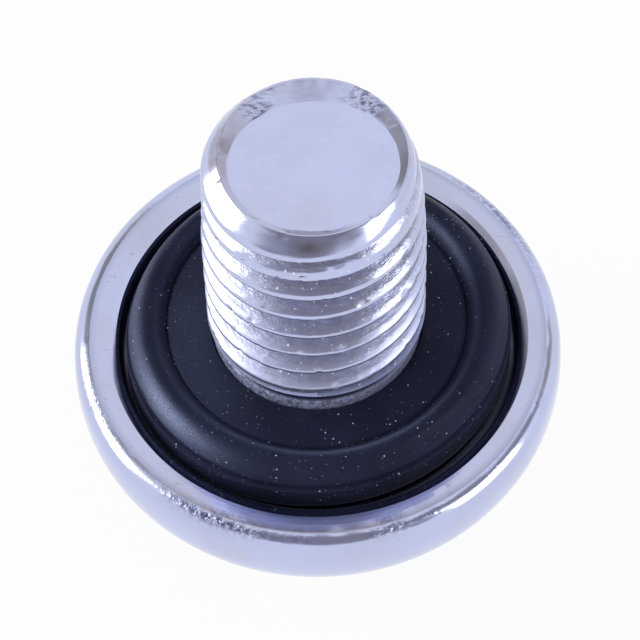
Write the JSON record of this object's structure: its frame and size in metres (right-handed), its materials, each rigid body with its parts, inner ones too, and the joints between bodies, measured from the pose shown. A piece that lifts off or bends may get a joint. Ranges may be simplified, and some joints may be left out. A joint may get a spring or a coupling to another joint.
{
  "type": "oil drain plug",
  "caption": "Threaded steel drain plug with a wide round flange, a black rubber seal let into the flange and a wrench hexagon.",
  "frame": {"origin": "Middle of the wrench hexagon's end face, which the plug stands on.", "axes": "+Z runs along the thread and out of the shank's end. +X is square to one flat of the wrench hexagon."},
  "size_m": [0.0272, 0.0272, 0.0297],
  "materials": {
    "steel": "bright zinc plating, semi-gloss, with fine scuffs and nicks",
    "rubber": "moulded black nitrile rubber, satin, with specks of dust"
  },
  "bodies": {
    "root": {"plug_body": "steel", "rubber_seal": "rubber"}
  },
  "joints": []
}
